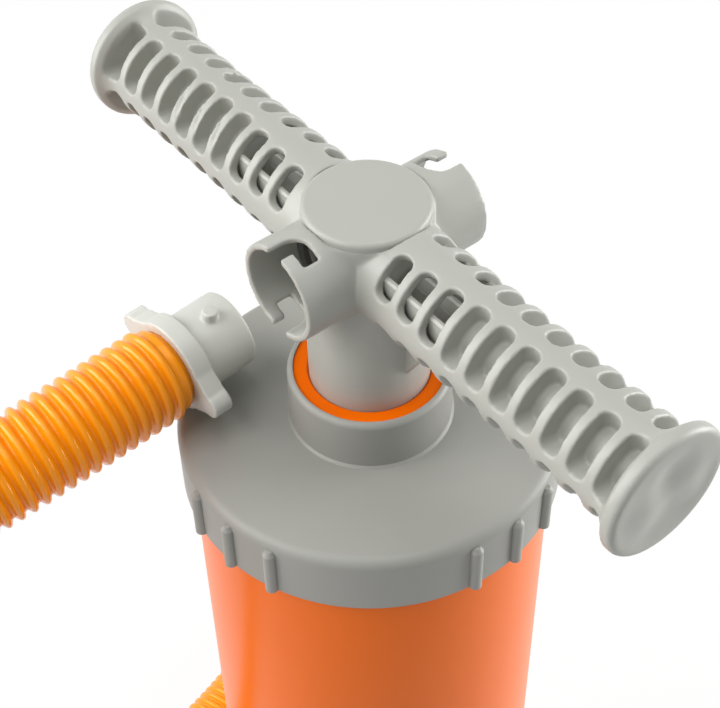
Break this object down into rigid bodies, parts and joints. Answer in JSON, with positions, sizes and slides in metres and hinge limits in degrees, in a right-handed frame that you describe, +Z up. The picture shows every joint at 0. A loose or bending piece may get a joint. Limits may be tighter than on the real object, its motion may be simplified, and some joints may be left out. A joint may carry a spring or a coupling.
{
  "type": "double-action hand air pump",
  "caption": "Floor-standing hand air pump with a T handle of two lattice grips, two bayonet ports on the hub, a locked cap, a foot plate and a ribbed hose.",
  "frame": {"origin": "centre of the foot plate's underside, on the floor", "axes": "+Z up along the barrel and rod, -Y to the front, foot plate wings along X"},
  "size_m": [0.4043, 0.3258, 0.4344],
  "materials": {
    "warm_grey_moulding": "moulded handle and hub, smooth satin",
    "cap_grey_moulding": "moulded cap, fine matt",
    "orange_barrel": "satin moulded barrel",
    "orange_gland": "saturated orange moulding",
    "orange_hose": "flexible ribbed hose, glossy",
    "connector_grey": "moulded connector",
    "foot_grey": "moulded foot plate",
    "dark_rubber": "soft seals and valves",
    "screw_steel": "zinc plated screws"
  },
  "bodies": {
    "stand": {"base_plate": "foot_grey", "base_screws": "screw_steel", "barrel": "orange_barrel", "barrel_cap": "cap_grey_moulding", "cap_gasket": "dark_rubber", "rod_gland": "orange_gland", "rod_seal": "dark_rubber", "hose_connector": "connector_grey", "hose": "orange_hose", "hose_nozzle": "connector_grey"},
    "seal_ring": {"piston_seal": "dark_rubber"},
    "rod": {"handle": "warm_grey_moulding", "hub_lid": "warm_grey_moulding", "inflate_port_seal": "dark_rubber", "deflate_port_seal": "dark_rubber", "shaft_tube": "warm_grey_moulding", "air_tube": "warm_grey_moulding", "air_tube_seals": "dark_rubber", "rod_screws": "screw_steel", "rod_bumper": "dark_rubber", "piston_body": "connector_grey", "piston_base": "connector_grey", "piston_screws": "screw_steel"},
    "inflate_flap_lower": {"inflate_valve_lower": "dark_rubber"},
    "inflate_flap_upper": {"inflate_valve_upper": "dark_rubber"},
    "deflate_flap_lower": {"deflate_valve_lower": "dark_rubber"},
    "deflate_flap_upper": {"deflate_valve_upper": "dark_rubber"}
  },
  "joints": [
    {"name": "pump_stroke", "type": "slide", "parent": "stand", "child": "seal_ring", "axis": [0, 0, 1], "range_m": [0, 0.2835]},
    {"name": "handle_turn", "type": "hinge", "parent": "seal_ring", "child": "rod", "pos_m": [0, 0, 0.35], "axis": [0, 0, 1], "continuous": true},
    {"name": "inflate_lower_open", "type": "slide", "parent": "rod", "child": "inflate_flap_lower", "axis": [0, 0, 1], "range_m": [0, 0.0015], "stiffness_N_per_m": 100},
    {"name": "inflate_upper_open", "type": "slide", "parent": "rod", "child": "inflate_flap_upper", "axis": [0, 0, -1], "range_m": [0, 0.0015], "stiffness_N_per_m": 100},
    {"name": "deflate_lower_open", "type": "slide", "parent": "rod", "child": "deflate_flap_lower", "axis": [0, 0, -1], "range_m": [0, 0.0015], "stiffness_N_per_m": 100},
    {"name": "deflate_upper_open", "type": "slide", "parent": "rod", "child": "deflate_flap_upper", "axis": [0, 0, 1], "range_m": [0, 0.0015], "stiffness_N_per_m": 100}
  ]
}
